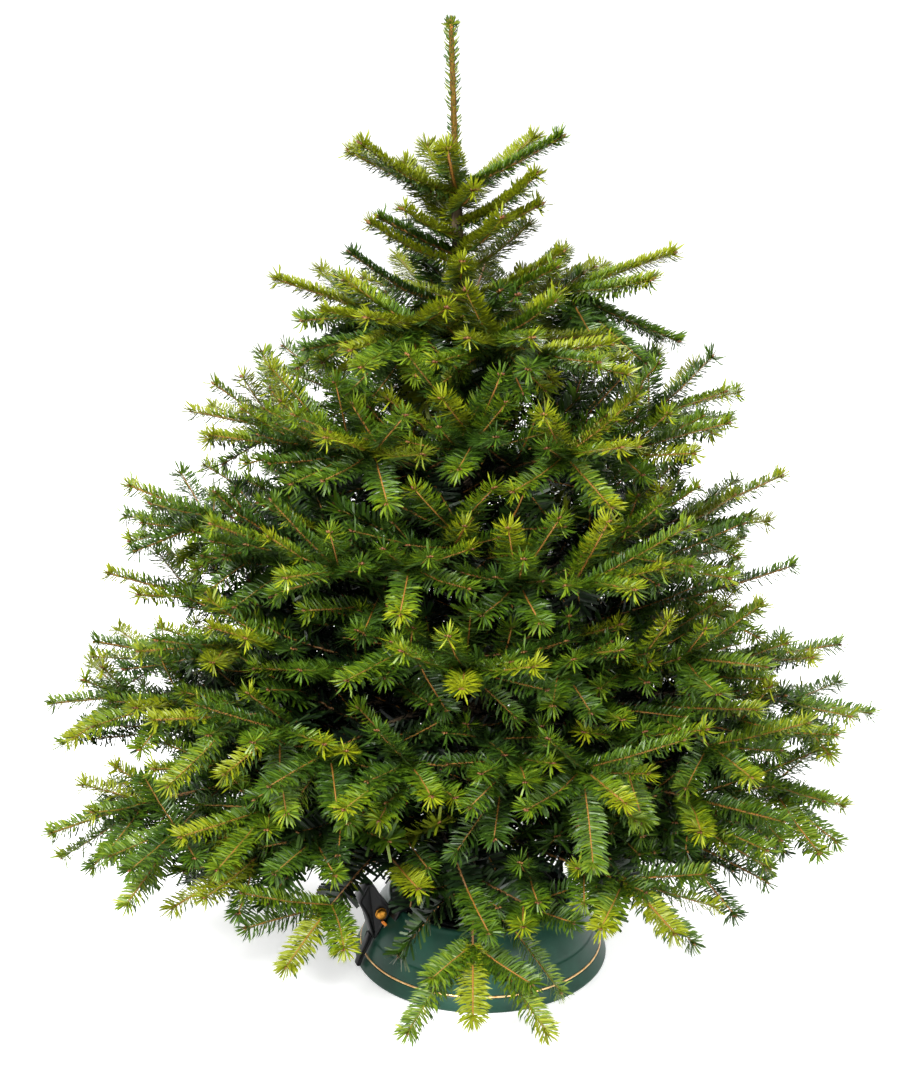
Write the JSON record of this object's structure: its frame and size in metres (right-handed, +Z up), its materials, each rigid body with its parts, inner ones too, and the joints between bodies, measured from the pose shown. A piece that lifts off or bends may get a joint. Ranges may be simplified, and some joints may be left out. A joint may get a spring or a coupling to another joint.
{
  "type": "cut fir christmas tree in a foot-lever stand",
  "caption": "Cut fir Christmas tree: a leaning trunk with tiers of needled boughs, standing in a round plastic stand with a foot lever.",
  "frame": {"origin": "centre of the stand's flat underside, on the floor", "axes": "+Z up along the tree, +X to the right as seen from the front, -Y towards the front"},
  "size_m": [1.2093, 0.9474, 1.359],
  "materials": {
    "bark": "matt, ridged grey-brown bark",
    "needles": "satin waxy needles, yellow-green at the shoot tips and blue-green inside",
    "stand_green": "satin dark green moulding",
    "stripe_gold": "satin gold printed band",
    "stand_black": "satin black moulding",
    "knob_brass": "satin",
    "latch_orange": "satin"
  },
  "bodies": {
    "root": {"trunk": "bark", "needles_leader": "needles", "needles_top_right": "needles", "needles_top_right_back": "needles", "needles_top_back": "needles", "needles_top_left": "needles", "needles_top_front": "needles", "needles_neck_right": "needles", "needles_neck_left": "needles", "needles_upper_right": "needles", "needles_upper_right_back": "needles", "needles_upper_back": "needles", "needles_upper_left": "needles", "needles_upper_left_front": "needles", "needles_upper_front": "needles", "needles_high_right": "needles", "needles_high_back": "needles", "needles_high_left": "needles", "needles_high_left_front": "needles", "needles_high_right_front": "needles", "needles_middle_right": "needles", "needles_middle_right_back": "needles", "needles_middle_left_back": "needles", "needles_middle_left": "needles", "needles_middle_left_front": "needles", "needles_middle_right_front": "needles", "needles_inner_front": "needles", "needles_inner_right_front": "needles", "needles_inner_right": "needles", "needles_inner_back": "needles", "needles_inner_left_back": "needles", "needles_inner_left_front": "needles", "needles_low_right": "needles", "needles_low_right_back": "needles", "needles_low_left_back": "needles", "needles_low_left": "needles", "needles_low_left_front": "needles", "needles_low_right_front": "needles", "bough_bottom_right": "bark", "needles_bottom_right": "needles", "bough_bottom_right_back": "bark", "needles_bottom_right_back": "needles", "bough_bottom_left_back": "bark", "needles_bottom_left_back": "needles", "bough_bottom_left": "bark", "needles_bottom_left": "needles", "bough_bottom_left_front": "bark", "needles_bottom_left_front": "needles", "bough_bottom_front": "bark", "needles_bottom_front": "needles", "bough_bottom_right_front": "bark", "needles_bottom_right_front": "needles", "stand_shell": "stand_green", "stand_stripe": "stripe_gold", "stand_bowl": "stand_black", "stand_collar": "stand_black", "stand_claws": "stand_black", "stand_lever": "stand_black", "lever_knob": "knob_brass", "lever_latch": "latch_orange"}
  },
  "joints": []
}
